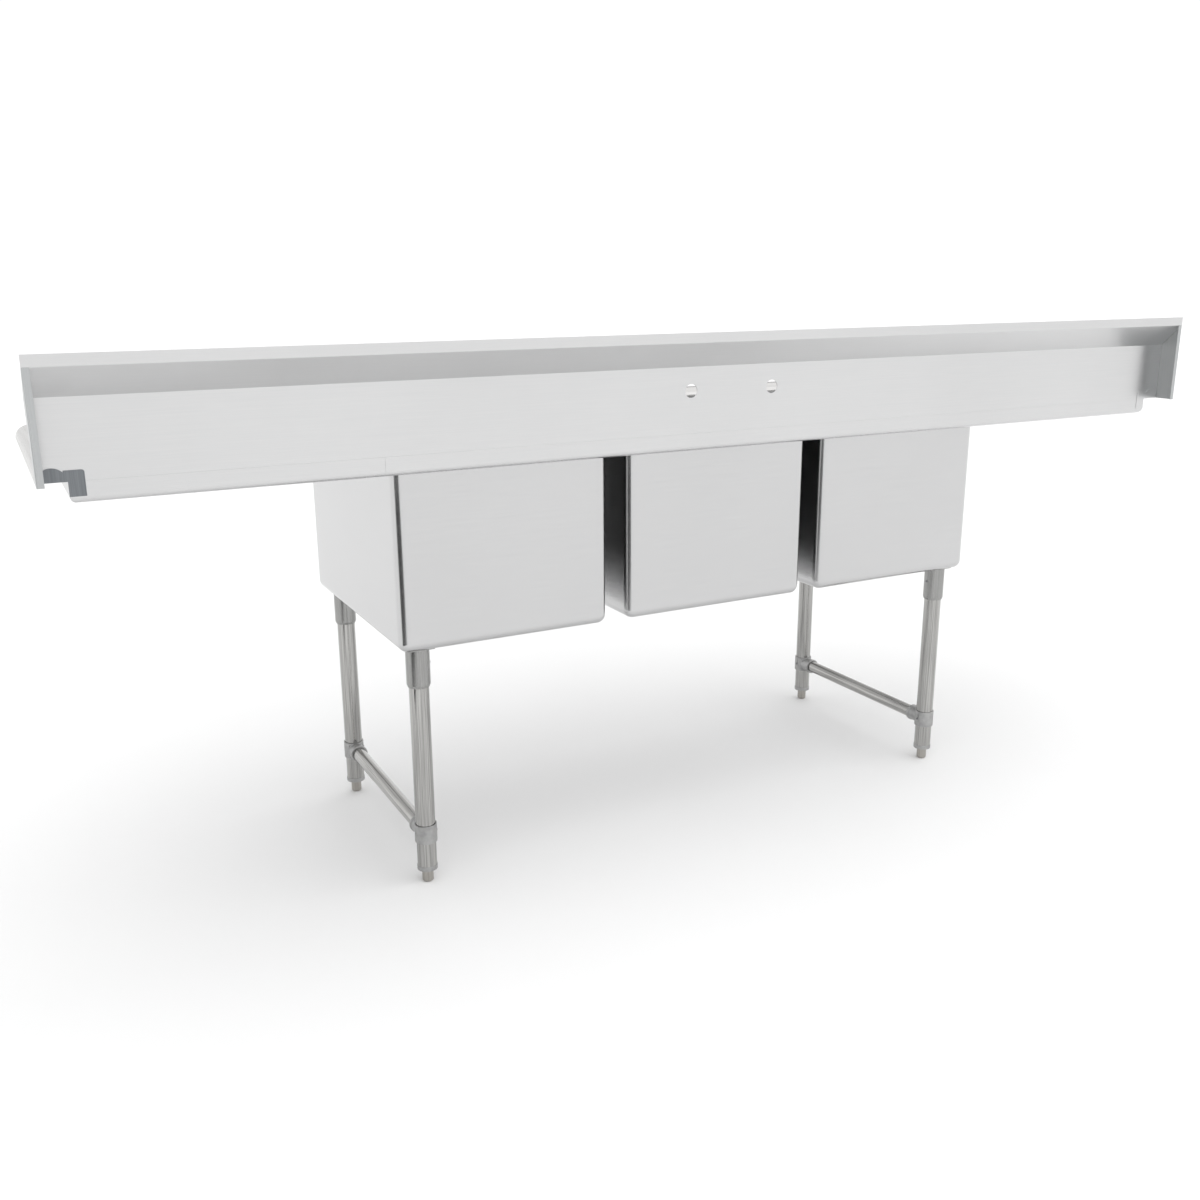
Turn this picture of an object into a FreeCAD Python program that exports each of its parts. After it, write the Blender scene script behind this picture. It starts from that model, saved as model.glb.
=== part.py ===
"""Three compartment sink with two drainboards, a splash, a rolled rim, and four braced legs.

Frame: +X along the length (to the user's right), +Y to the wall, +Z up, millimetres.
The origin is on the floor, under the middle of the overall box.
"""
import FreeCAD, Part
import math
import os
import Sketcher

Vector = FreeCAD.Vector

# Driving dimensions: alias, value, meaning.
DIMENSIONS = [
    ("length", 2692.4, "overall length, end to end"),
    ("depth", 749.3, "overall depth, rim to tile edge"),
    ("height", 1127, "floor to the top of the splash"),
    ("gauge", 1.5, "sheet thickness"),
    ("deck_height", 882, "floor to the underside of the deck"),
    ("rim_base", 919, "floor to the free edge of the rolled rim"),
    ("rim_width", 50.8, "width of the half-round rim"),
    ("rim_inner_radius", 12, "inner plan radius of the rim's front corners"),
    ("deck_bend", 12, "outer radius under the edges of the deck"),
    ("splash_offset", 51, "back of the splash to the back of the tile edge"),
    ("tile_edge", 20, "height of the upturned tile edge"),
    ("cap_flange", 12, "width of the end cap's rear flange"),
    ("faucet_spacing", 203.2, "distance between the faucet holes"),
    ("faucet_hole", 14.3, "radius of a faucet hole"),
    ("faucet_height", 1007, "floor to the faucet holes"),
    ("bowl_pitch", 508, "distance between bowl centres"),
    ("bowl_width", 460.2, "outer width of a bowl"),
    ("bowl_run", 612.6, "outer front-to-back size of a bowl"),
    ("bowl_bottom", 522, "floor to the underside of a bowl"),
    ("bowl_corner", 21, "outer radius of a bowl's upright corners"),
    ("bowl_base_radius", 20, "outer radius round a bowl's bottom"),
    ("board_start", 762, "middle of the sink to the start of a drainboard"),
    ("plate_thickness", 1, "closing plates on the back of the splash"),
    ("patch_width", 25, "width of the closing plate beside the end wall"),
    ("patch_top", 938, "floor to the top of that closing plate"),
    ("drain_hole", 45, "radius of the hole in a bowl's floor"),
    ("drain_flange", 57, "radius of the drain's flange"),
    ("drain_cup", 43, "outer radius of the drain's cup"),
    ("drain_wall", 2, "wall of the drain's cup"),
    ("drain_ledge", 514, "floor to the ledge that carries the basket"),
    ("drain_floor", 482, "floor to the underside of the drain's cup"),
    ("outlet_radius", 19.05, "outer radius of the drain's outlet"),
    ("outlet_end", 450, "floor to the open end of the outlet"),
    ("basket_radius", 40.2, "radius of the basket's lip"),
    ("basket_cup", 34, "outer radius of the basket's cup"),
    ("leg_inset", 48, "leg centre to the outside of the bowls"),
    ("leg_radius", 20.65, "outer radius of a leg tube"),
    ("leg_wall", 1.5, "wall of the leg and brace tubes"),
    ("leg_bottom", 39, "floor to the lower end of a leg tube"),
    ("fit_gap", 0.1, "gap between a leg tube and what it slides into"),
    ("socket_radius", 24.5, "outer radius of a leg socket"),
    ("socket_bottom", 437, "floor to the mouth of a leg socket"),
    ("mount_plate", 3, "thickness of a leg's mounting plate"),
    ("mount_size", 56, "side of a leg's mounting plate"),
    ("brace_height", 113, "floor to the brace's centre line"),
    ("brace_radius", 15.9, "outer radius of a brace tube"),
    ("collar_radius", 23.5, "outer radius of a brace fitting's collar"),
    ("collar_height", 40, "height of a brace fitting's collar"),
    ("branch_radius", 19, "outer radius of a brace fitting's branch"),
    ("branch_reach", 46, "leg centre to the mouth of a branch"),
    ("insert_radius", 21.5, "radius of a foot insert's flange"),
    ("insert_bottom", 29, "floor to the underside of a foot insert"),
    ("insert_top", 75, "floor to the top of a foot insert"),
    ("stem_radius", 6, "radius of an adjustable foot's stem"),
    ("stem_top", 100, "floor to the top of the stem"),
    ("stem_gap", 0.3, "gap between the stem and its insert"),
    ("foot_radius", 12, "radius of an adjustable foot"),
    ("foot_height", 22, "height of an adjustable foot's stub"),
    ("screw_radius", 3, "radius of a set screw"),
]

doc = FreeCAD.newDocument("Sink")
sheet = doc.addObject("Spreadsheet::Sheet", "Dims")
for row, (alias, number, meaning) in enumerate(DIMENSIONS, start=1):
    sheet.set("A%d" % row, alias)
    sheet.set("B%d" % row, str(number))
    sheet.set("C%d" % row, meaning)
    sheet.setAlias("B%d" % row, alias)
doc.recompute()

# Places used by several sub-parts, as expressions on the sheet.
HALF = "Dims.length / 2"
BACK = "Dims.depth / 2"
SPLASH_BACK = "(Dims.depth / 2 - Dims.splash_offset)"
SPLASH_FRONT = "(Dims.depth / 2 - Dims.splash_offset - Dims.gauge)"
WALL_X = "(Dims.length / 2 - Dims.rim_width + Dims.gauge)"
WALL_Y = "(Dims.depth / 2 - Dims.rim_width + Dims.gauge)"
CORNER = "(Dims.rim_width + Dims.rim_inner_radius)"
RIM_HALF = "Dims.rim_width / 2"
BEND_TOP = "(Dims.height - Dims.tile_edge)"
BEND_LOW = "(Dims.height - Dims.tile_edge - Dims.splash_offset)"
BOWL_BACK = "(Dims.bowl_run - Dims.depth / 2 + Dims.rim_width - Dims.gauge)"
BOWL_FLOOR = "(Dims.bowl_bottom + Dims.gauge)"
BOWL_MIDDLE = "(Dims.bowl_run / 2 - Dims.depth / 2 + Dims.rim_width - Dims.gauge)"
SLOPE_STEP = "Dims.gauge * tan(22.5 deg)"
APRON_TOP = "(Dims.deck_height + Dims.deck_bend)"
APRON_HALF = "(Dims.bowl_width / 2 - Dims.bowl_corner)"
MARGIN = 5  # how far a cutting shape runs past the sheet that it cuts
SIDES = (("left", -1), ("right", 1))
BOWLS = (("left", -1), ("center", 0), ("right", 1))

nodes = []


def value(expression):
    """Work an expression on the sheet out as a plain number."""
    result = sheet.evalExpression(expression)
    return getattr(result, "Value", result)


def keep(label, feature):
    """Name a finished sub-part, which is written to a file of that name."""
    feature.Label = label
    nodes.append(feature)
    return feature


def place(feature, x="0", y="0", z="0"):
    """Bind a feature's position to the sheet."""
    for axis, expression in zip("xyz", (x, y, z)):
        feature.setExpression("Placement.Base." + axis, expression)
    return feature


# ---------------------------------------------------------------- sketches and bodies

def new_body(name, x="0", y="0", z="0"):
    return place(doc.addObject("PartDesign::Body", name), x, y, z)


def new_sketch(body, name, role, offset="0"):
    """A sketch on one of the body's own origin planes, moved along that plane's normal."""
    sketch = body.newObject("Sketcher::SketchObject", name)
    plane = next(item for item in body.Origin.OriginFeatures if item.Role == role)
    sketch.AttachmentSupport = [(plane, "")]
    sketch.MapMode = "FlatFace"
    sketch.setExpression("AttachmentOffset.Base.z", offset)
    return sketch


def bind_constraint(sketch, constraint, expression):
    index = sketch.addConstraint(constraint)
    sketch.setExpression("Constraints[%d]" % index, expression)


def pin(sketch, geometry, point, u, v):
    """Hold a point of a sketch at a place bound to the sheet; None leaves that way free."""
    for kind, axis, expression in (("DistanceX", -2, u), ("DistanceY", -1, v)):
        if expression is None:
            continue
        number = value(expression)
        if abs(number) < 1e-6:
            sketch.addConstraint(Sketcher.Constraint("PointOnObject", geometry, point, axis))
        else:
            held = Sketcher.Constraint(kind, -1, 1, geometry, point, number)
            bind_constraint(sketch, held, expression)


def polygon(sketch, corners):
    """A closed outline of straight lines."""
    points = [Vector(value(u), value(v), 0) for u, v in corners]
    first = sketch.GeometryCount
    count = len(points)
    for index, point in enumerate(points):
        sketch.addGeometry(Part.LineSegment(point, points[(index + 1) % count]))
    for index, (u, v) in enumerate(corners):
        following = first + (index + 1) % count
        sketch.addConstraint(Sketcher.Constraint("Coincident", first + index, 2, following, 1))
        pin(sketch, first + index, 1, u, v)


def rectangle(sketch, left, right, low, high):
    polygon(sketch, [(left, low), (right, low), (right, high), (left, high)])


def circle(sketch, u, v, radius):
    centre = Vector(value(u), value(v), 0)
    index = sketch.addGeometry(Part.Circle(centre, Vector(0, 0, 1), value(radius)))
    pin(sketch, index, 3, u, v)
    held = Sketcher.Constraint("Radius", index, value(radius))
    bind_constraint(sketch, held, radius)


def arc(sketch, centre, radius, start, end):
    ring = Part.Circle(centre, Vector(0, 0, 1), value(radius))
    index = sketch.addGeometry(Part.ArcOfCircle(ring, start, end))
    bind_constraint(sketch, Sketcher.Constraint("Radius", index, value(radius)), radius)
    return index


def half_ring(sketch, u, v):
    """The rolled rim's section: a half-round sheet standing on its two edges."""
    centre = Vector(value(u), value(v), 0)
    arcs = [arc(sketch, centre, RIM_HALF, 0, math.pi),
            arc(sketch, centre, RIM_HALF + " - Dims.gauge", 0, math.pi)]
    for end in (1, 2):
        points = [sketch.getPoint(index, end) for index in arcs]
        line = sketch.addGeometry(Part.LineSegment(*points))
        for side, index in enumerate(arcs, start=1):
            sketch.addConstraint(Sketcher.Constraint("Coincident", line, side, index, end))
            pin(sketch, line, side, None, v)
    for index in arcs:
        pin(sketch, index, 3, u, None)


def rounded_rectangle(sketch, left, right, low, high, radius):
    """A rectangle with four equal round corners."""
    x0, x1, y0, y1, r = (value(item) for item in (left, right, low, high, radius))
    quarter = math.pi / 2
    corners = [(x1 - r, y0 + r, -1), (x1 - r, y1 - r, 0), (x0 + r, y1 - r, 1), (x0 + r, y0 + r, 2)]
    arcs = []
    for x, y, turn in corners:
        arcs.append(arc(sketch, Vector(x, y, 0), radius, turn * quarter, (turn + 1) * quarter))
    sides = [("Horizontal", None, low), ("Vertical", right, None),
             ("Horizontal", None, high), ("Vertical", left, None)]
    for index, (kind, u, v) in enumerate(sides):
        before = arcs[index - 1]
        after = arcs[index]
        start = sketch.getPoint(before, 2)
        end = sketch.getPoint(after, 1)
        line = sketch.addGeometry(Part.LineSegment(start, end))
        sketch.addConstraint(Sketcher.Constraint("Tangent", line, 1, before, 2))
        sketch.addConstraint(Sketcher.Constraint("Tangent", line, 2, after, 1))
        pin(sketch, line, 1, u, v)


def pad(body, name, sketch, length, symmetric=False, reverse=False):
    feature = body.newObject("PartDesign::Pad", name)
    feature.Profile = sketch
    feature.SideType = "Symmetric" if symmetric else "One side"
    feature.Reversed = reverse
    feature.setExpression("Length", length)
    return feature


def pocket(body, name, sketch, length, side_type="Symmetric"):
    """A pocket to both sides of its sketch, or only downwards with "One side"."""
    feature = body.newObject("PartDesign::Pocket", name)
    feature.Profile = sketch
    feature.SideType = side_type
    feature.setExpression("Length", length)
    return feature


def revolve(body, name, sketch, angle=360, reverse=False):
    """Turn a sketch about the body's upright axis."""
    feature = body.newObject("PartDesign::Revolution", name)
    feature.Profile = sketch
    feature.ReferenceAxis = (sketch, ["V_Axis"])
    feature.Angle = angle
    feature.Reversed = reverse
    return feature


def straight_edges(feature, x=None, y=None, z=None):
    """Names of the straight edges that lie at the given coordinates."""
    doc.recompute()
    names = []
    for number, edge in enumerate(feature.Shape.Edges, start=1):
        if not isinstance(edge.Curve, Part.Line):
            continue
        points = [vertex.Point for vertex in edge.Vertexes]
        wanted = ((x, "x"), (y, "y"), (z, "z"))
        checks = [abs(getattr(p, axis) - value(w)) < 0.01
                  for w, axis in wanted if w is not None for p in points]
        if all(checks):
            names.append("Edge%d" % number)
    return names


def fillet(body, name, base, edges, radius):
    feature = body.newObject("PartDesign::Fillet", name)
    feature.Base = (base, edges)
    feature.setExpression("Radius", radius)
    doc.recompute()
    return feature


def shell(body, name, base, open_faces):
    """Turn a solid block into bent sheet, open at the faces whose planes are given."""
    doc.recompute()
    names = []
    for number, face in enumerate(base.Shape.Faces, start=1):
        middle = face.BoundBox.Center
        for axis, expression in open_faces:
            flat = getattr(face.BoundBox, axis.upper() + "Length") < 0.01
            if flat and abs(getattr(middle, axis) - value(expression)) < 0.01:
                names.append("Face%d" % number)
    feature = body.newObject("PartDesign::Thickness", name)
    feature.Base = (base, names)
    feature.setExpression("Value", "Dims.gauge")
    feature.Mode = "Skin"
    feature.Join = "Arc"
    feature.Reversed = True
    return feature


# ---------------------------------------------------------------- primitives and booleans

def box(name, sizes, corner):
    feature = doc.addObject("Part::Box", name)
    for side, expression in zip(("Length", "Width", "Height"), sizes):
        feature.setExpression(side, expression)
    return place(feature, *corner)


def cylinder(name, radius, height, base, along="z"):
    feature = doc.addObject("Part::Cylinder", name)
    turns = {"x": FreeCAD.Rotation(Vector(0, 1, 0), 90),
             "y": FreeCAD.Rotation(Vector(1, 0, 0), -90),
             "z": FreeCAD.Rotation()}
    feature.Placement = FreeCAD.Placement(Vector(), turns[along])
    feature.setExpression("Radius", radius)
    feature.setExpression("Height", height)
    return place(feature, *base)


def cone(name, radius_low, radius_high, height, base):
    feature = doc.addObject("Part::Cone", name)
    feature.setExpression("Radius1", radius_low)
    feature.setExpression("Radius2", radius_high)
    feature.setExpression("Height", height)
    return place(feature, *base)


def fuse(name, shapes):
    feature = doc.addObject("Part::MultiFuse", name)
    feature.Shapes = shapes
    feature.Refine = True
    return feature


def cut(name, base, tool):
    feature = doc.addObject("Part::Cut", name)
    feature.Base = base
    feature.Tool = tool
    feature.Refine = True
    return feature


def group(name, shapes):
    """Separate identical solids that share one node."""
    feature = doc.addObject("Part::Compound", name)
    feature.Links = shapes
    return feature


# ---------------------------------------------------------------- splash and its ends

def make_backsplash():
    body = new_body("backsplash")
    profile = new_sketch(body, "backsplash_profile", "YZ_Plane")
    polygon(profile, [
        (SPLASH_BACK, "Dims.rim_base"),
        (SPLASH_BACK, BEND_LOW),
        (BACK, BEND_TOP),
        (BACK, "Dims.height"),
        (BACK + " - Dims.gauge", "Dims.height"),
        (BACK + " - Dims.gauge", BEND_TOP + " + " + SLOPE_STEP),
        (SPLASH_FRONT, BEND_LOW + " + " + SLOPE_STEP),
        (SPLASH_FRONT, "Dims.rim_base")])
    sheet_pad = pad(body, "backsplash_sheet", profile, "Dims.length", symmetric=True)
    outer = straight_edges(sheet_pad, y=SPLASH_FRONT, z=BEND_LOW + " + " + SLOPE_STEP)
    outer += straight_edges(sheet_pad, y=BACK, z=BEND_TOP)
    bend = fillet(body, "outer_bends", sheet_pad, outer, "2 * Dims.gauge")
    inner = straight_edges(bend, y=SPLASH_BACK, z=BEND_LOW)
    inner += straight_edges(bend, y=BACK + " - Dims.gauge", z=BEND_TOP + " + " + SLOPE_STEP)
    fillet(body, "inner_bends", bend, inner, "Dims.gauge")
    holes = new_sketch(body, "faucet_hole_sketch", "XZ_Plane", "-" + SPLASH_BACK)
    for _, side in SIDES:
        circle(holes, "%d * Dims.faucet_spacing / 2" % side, "Dims.faucet_height",
               "Dims.faucet_hole")
    pocket(body, "faucet_holes", holes, "4 * Dims.gauge")
    keep("backsplash_panel", body)


def make_end_cap(name, side):
    """A bent plate that closes the splash's open end, with its flange facing the wall."""
    body = new_body("cap_" + name)
    end = "%d * %s" % (side, HALF)
    inside = "%d * (%s - Dims.gauge)" % (side, HALF)
    flange = "%d * (%s - Dims.cap_flange)" % (side, HALF)
    plan = new_sketch(body, "cap_plan_" + name, "XY_Plane", "Dims.rim_base")
    polygon(plan, [
        (end, SPLASH_BACK), (end, BACK), (flange, BACK),
        (flange, BACK + " - Dims.gauge"), (inside, BACK + " - Dims.gauge"),
        (inside, SPLASH_BACK)])
    bent = pad(body, "cap_sheet_" + name, plan, BEND_TOP + " - Dims.rim_base")
    corner = straight_edges(bent, x=end, y=BACK)
    fillet(body, "cap_bend_" + name, bent, corner, "Dims.gauge")
    slope = new_sketch(body, "cap_slope_" + name, "YZ_Plane", end)
    polygon(slope, [
        (SPLASH_BACK, BEND_LOW), (BACK, BEND_TOP),
        (BACK, BEND_TOP + " + %d" % MARGIN),
        (SPLASH_BACK + " - %d" % MARGIN, BEND_TOP + " + %d" % MARGIN),
        (SPLASH_BACK + " - %d" % MARGIN, BEND_LOW)])
    pocket(body, "cap_trim_" + name, slope, "4 * Dims.cap_flange")
    keep("splash_end_cap_" + name, body)


def make_closing_plate(name, side):
    """The thin plates on the back that close the rim's end and cover the end wall's seam."""
    inside = "%d * (%s - Dims.gauge)" % (side, HALF)
    body = new_body("closing_" + name)
    outline = new_sketch(body, "closing_outline_" + name, "XZ_Plane", "-" + SPLASH_BACK)
    centre = "%d * (%s - %s)" % (side, HALF, RIM_HALF)
    rim_end = "%d * (%s - Dims.rim_width + Dims.gauge)" % (side, HALF)
    patch_end = "%d * (%s - Dims.rim_width - Dims.patch_width)" % (side, HALF)
    base = value("Dims.rim_base")
    round_top = arc(outline, Vector(value(centre), base, 0), RIM_HALF + " - Dims.gauge", 0, math.pi)
    pin(outline, round_top, 3, centre, "Dims.rim_base")
    line = outline.addGeometry(Part.LineSegment(outline.getPoint(round_top, 1),
                                                outline.getPoint(round_top, 2)))
    for end in (1, 2):
        outline.addConstraint(Sketcher.Constraint("Coincident", line, end, round_top, end))
        pin(outline, line, end, None, "Dims.rim_base")
    pad(body, "closing_disc_" + name, outline, "Dims.plate_thickness", reverse=True)
    patch = new_sketch(body, "patch_outline_" + name, "XZ_Plane", "-" + SPLASH_BACK)
    low = "Dims.deck_height + Dims.deck_bend"
    polygon(patch, [
        (rim_end, low), (patch_end, low), (patch_end, "Dims.patch_top"),
        ("%s - %d * 4 * Dims.gauge" % (rim_end, -side), "Dims.patch_top"),
        ("%s - %d * 4 * Dims.gauge" % (rim_end, -side), "Dims.rim_base"),
        (rim_end, "Dims.rim_base")])
    plate = pad(body, "closing_patch_" + name, patch, "Dims.plate_thickness", reverse=True)
    corner = straight_edges(plate, x=patch_end, z="Dims.patch_top")
    fillet(body, "closing_round_" + name, plate, corner, "3 * Dims.gauge")
    keep("rim_closing_plate_" + name, body)


# ---------------------------------------------------------------- deck and bowls

def make_drainboard(name, side):
    """A shallow pan beside the bowls: floor, end wall, front wall and back wall."""
    body = new_body("board_" + name)
    start = "%d * Dims.board_start" % side
    end = "%d * %s" % (side, WALL_X)
    front = "-" + WALL_Y
    plan = new_sketch(body, "board_plan_" + name, "XY_Plane", "Dims.deck_height")
    rectangle(plan, start, end, front, SPLASH_BACK)
    block = pad(body, "board_block_" + name, plan, "Dims.rim_base - Dims.deck_height")
    upright = straight_edges(block, x=end, y=front)
    rounded = fillet(body, "board_corner_" + name, block, upright,
                     "Dims.rim_inner_radius + Dims.gauge")
    low = "Dims.deck_height"
    under = straight_edges(rounded, x=end, z=low)
    under += straight_edges(rounded, y=front, z=low)
    under += straight_edges(rounded, y=SPLASH_BACK, z=low)
    rounded = fillet(body, "board_underside_" + name, rounded, under, "Dims.deck_bend")
    shell(body, "board_sheet_" + name, rounded, [("z", "Dims.rim_base"), ("x", start)])
    keep("drainboard_" + name, body)


def bowl_outline(sketch, centre, inset):
    """A bowl in plan, drawn in from its outside by the inset."""
    across = "(Dims.bowl_width / 2 - %s)" % inset
    rounded_rectangle(
        sketch, "%s - %s" % (centre, across), "%s + %s" % (centre, across),
        "-%s + %s" % (WALL_Y, inset), "%s - %s" % (BOWL_BACK, inset),
        "Dims.bowl_corner - %s" % inset)


def make_bowl_deck():
    """The deck between and behind the bowls, with three openings."""
    body = new_body("deck")
    plan = new_sketch(body, "deck_plan", "XY_Plane", "Dims.deck_height")
    rectangle(plan, "-Dims.board_start", "Dims.board_start", "-" + WALL_Y, SPLASH_BACK)
    block = pad(body, "deck_block", plan, "Dims.rim_base - Dims.deck_height")
    low = "Dims.deck_height"
    under = straight_edges(block, y="-" + WALL_Y, z=low)
    under += straight_edges(block, y=SPLASH_BACK, z=low)
    rounded = fillet(body, "deck_bends", block, under, "Dims.deck_bend")
    shell(body, "deck_sheet", rounded, [
        ("z", "Dims.rim_base"), ("x", "Dims.board_start"), ("x", "-Dims.board_start")])
    openings = new_sketch(body, "opening_sketch", "XY_Plane", "Dims.deck_height")
    for _, place_number in BOWLS:
        bowl_outline(openings, "%d * Dims.bowl_pitch" % place_number, "Dims.gauge")
    pocket(body, "bowl_openings", openings, "4 * Dims.deck_bend")
    fronts = new_sketch(body, "front_sketch", "XY_Plane", APRON_TOP)
    for _, place_number in BOWLS:
        centre = "%d * Dims.bowl_pitch" % place_number
        rectangle(fronts, "%s - %s" % (centre, APRON_HALF), "%s + %s" % (centre, APRON_HALF),
                  "-%s - %d" % (WALL_Y, MARGIN), "-%s + Dims.gauge" % WALL_Y)
    pocket(body, "bowl_fronts", fronts, "2 * Dims.deck_bend", side_type="One side")
    keep("bowl_deck", body)


def make_bowl(name, place_number):
    """A deep drawn bowl with round corners and a drain hole."""
    body = new_body("bowl_" + name)
    centre = "%d * Dims.bowl_pitch" % place_number
    plan = new_sketch(body, "bowl_plan_" + name, "XY_Plane", "Dims.bowl_bottom")
    bowl_outline(plan, centre, "0")
    block = pad(body, "bowl_block_" + name, plan, APRON_TOP + " - Dims.bowl_bottom")
    doc.recompute()
    low = value("Dims.bowl_bottom")
    around = ["Edge%d" % number for number, edge in enumerate(block.Shape.Edges, start=1)
              if edge.BoundBox.ZMax < low + 0.01]
    rounded = fillet(body, "bowl_base_" + name, block, around, "Dims.bowl_base_radius")
    shell(body, "bowl_sheet_" + name, rounded, [("z", APRON_TOP)])
    rear = new_sketch(body, "bowl_rim_sketch_" + name, "XY_Plane", APRON_TOP)
    back = "%s + %d" % (BOWL_BACK, MARGIN)
    front = "-%s - %d" % (WALL_Y, MARGIN)
    behind_front = "-%s + Dims.gauge" % WALL_Y
    polygon(rear, [
        ("%s - Dims.bowl_width / 2 - %d" % (centre, MARGIN), back),
        ("%s - Dims.bowl_width / 2 - %d" % (centre, MARGIN), front),
        ("%s - %s" % (centre, APRON_HALF), front),
        ("%s - %s" % (centre, APRON_HALF), behind_front),
        ("%s + %s" % (centre, APRON_HALF), behind_front),
        ("%s + %s" % (centre, APRON_HALF), front),
        ("%s + Dims.bowl_width / 2 + %d" % (centre, MARGIN), front),
        ("%s + Dims.bowl_width / 2 + %d" % (centre, MARGIN), back)])
    pocket(body, "bowl_rim_" + name, rear, "Dims.deck_bend", side_type="One side")
    drain = new_sketch(body, "bowl_drain_" + name, "XY_Plane", "Dims.bowl_bottom")
    circle(drain, centre, BOWL_MIDDLE, "Dims.drain_hole")
    pocket(body, "bowl_hole_" + name, drain, "8 * Dims.gauge")
    keep("bowl_" + name, body)


# ---------------------------------------------------------------- rolled rim

def make_front_rim():
    body = new_body("rim_front")
    section = new_sketch(body, "rim_front_section", "YZ_Plane")
    half_ring(section, "-(%s - %s)" % (BACK, RIM_HALF), "Dims.rim_base")
    pad(body, "rim_front_sheet", section, "Dims.length - 2 * " + CORNER, symmetric=True)
    keep("rolled_rim_front", body)


def make_side_rim(name, side):
    body = new_body("rim_" + name)
    section = new_sketch(body, "rim_section_" + name, "XZ_Plane", "-" + SPLASH_FRONT)
    half_ring(section, "%d * (%s - %s)" % (side, HALF, RIM_HALF), "Dims.rim_base")
    pad(body, "rim_sheet_" + name, section,
        "%s + %s - %s" % (SPLASH_FRONT, BACK, CORNER))
    keep("rolled_rim_" + name, body)


def make_rim_corner(name, side):
    """The rim's rounded front corner, turned through a quarter circle."""
    body = new_body("rim_corner_" + name, "%d * (%s - %s)" % (side, HALF, CORNER),
                    "-(%s - %s)" % (BACK, CORNER))
    section = new_sketch(body, "corner_section_" + name, "XZ_Plane")
    half_ring(section, "%d * (%s - %s)" % (side, CORNER, RIM_HALF), "Dims.rim_base")
    revolve(body, "corner_sheet_" + name, section, angle=90, reverse=side > 0)
    keep("rim_corner_" + name, body)


# ---------------------------------------------------------------- drains

def turned(label, name, x, outline):
    """A piece turned about the drain's upright axis from its half section."""
    body = new_body(name, x, BOWL_MIDDLE)
    section = new_sketch(body, name + "_section", "XZ_Plane")
    polygon(section, outline)
    revolve(body, name + "_turned", section)
    return keep(label, body)


def make_drain(name, place_number):
    x = "%d * Dims.bowl_pitch" % place_number
    cup = "Dims.drain_cup"
    bore = "(Dims.drain_cup - Dims.drain_wall)"
    outlet = "Dims.outlet_radius"
    outlet_bore = "(Dims.outlet_radius - Dims.drain_wall)"
    seat = "(Dims.drain_cup - 3 * Dims.drain_wall)"
    flange_top = BOWL_FLOOR + " + Dims.gauge"
    turned("drain_body_" + name, "drain_" + name, x, [
        ("Dims.drain_flange", BOWL_FLOOR), ("Dims.drain_flange", flange_top),
        (bore, flange_top), (bore, "Dims.drain_ledge"), (seat, "Dims.drain_ledge"),
        (seat, "Dims.drain_floor + Dims.drain_wall"),
        (outlet_bore, "Dims.drain_floor + Dims.drain_wall"), (outlet_bore, "Dims.outlet_end"),
        (outlet, "Dims.outlet_end"), (outlet, "Dims.drain_floor"),
        (cup, "Dims.drain_floor"), (cup, BOWL_FLOOR)])
    gasket_low = "(Dims.bowl_bottom - 2 * Dims.drain_wall)"
    nut_low = "(Dims.bowl_bottom - 8 * Dims.drain_wall)"
    sleeve = "(Dims.drain_cup + Dims.fit_gap)"
    turned("drain_gasket_" + name, "gasket_" + name, x, [
        (sleeve, gasket_low), ("Dims.drain_flange", gasket_low),
        ("Dims.drain_flange", "Dims.bowl_bottom"), (sleeve, "Dims.bowl_bottom")])
    nut = turned("drain_locknut_" + name, "locknut_" + name, x, [
        (sleeve, nut_low), ("Dims.drain_flange - Dims.drain_wall", nut_low),
        ("Dims.drain_flange - Dims.drain_wall", gasket_low), (sleeve, gasket_low)])
    lugs = new_sketch(nut, "lug_sketch_" + name, "XY_Plane", nut_low)
    reach = "(Dims.drain_flange + 2 * Dims.drain_wall)"
    rectangle(lugs, "Dims.drain_cup + 2 * Dims.drain_wall", reach,
              "-2 * Dims.drain_wall", "2 * Dims.drain_wall")
    lug = pad(nut, "lug_" + name, lugs, "4 * Dims.drain_wall")
    ring = nut.newObject("PartDesign::PolarPattern", "lugs_" + name)
    ring.Originals = [lug]
    ring.Axis = (lugs, ["N_Axis"])
    ring.Angle = 360
    ring.Occurrences = 6
    nut.Tip = ring


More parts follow.
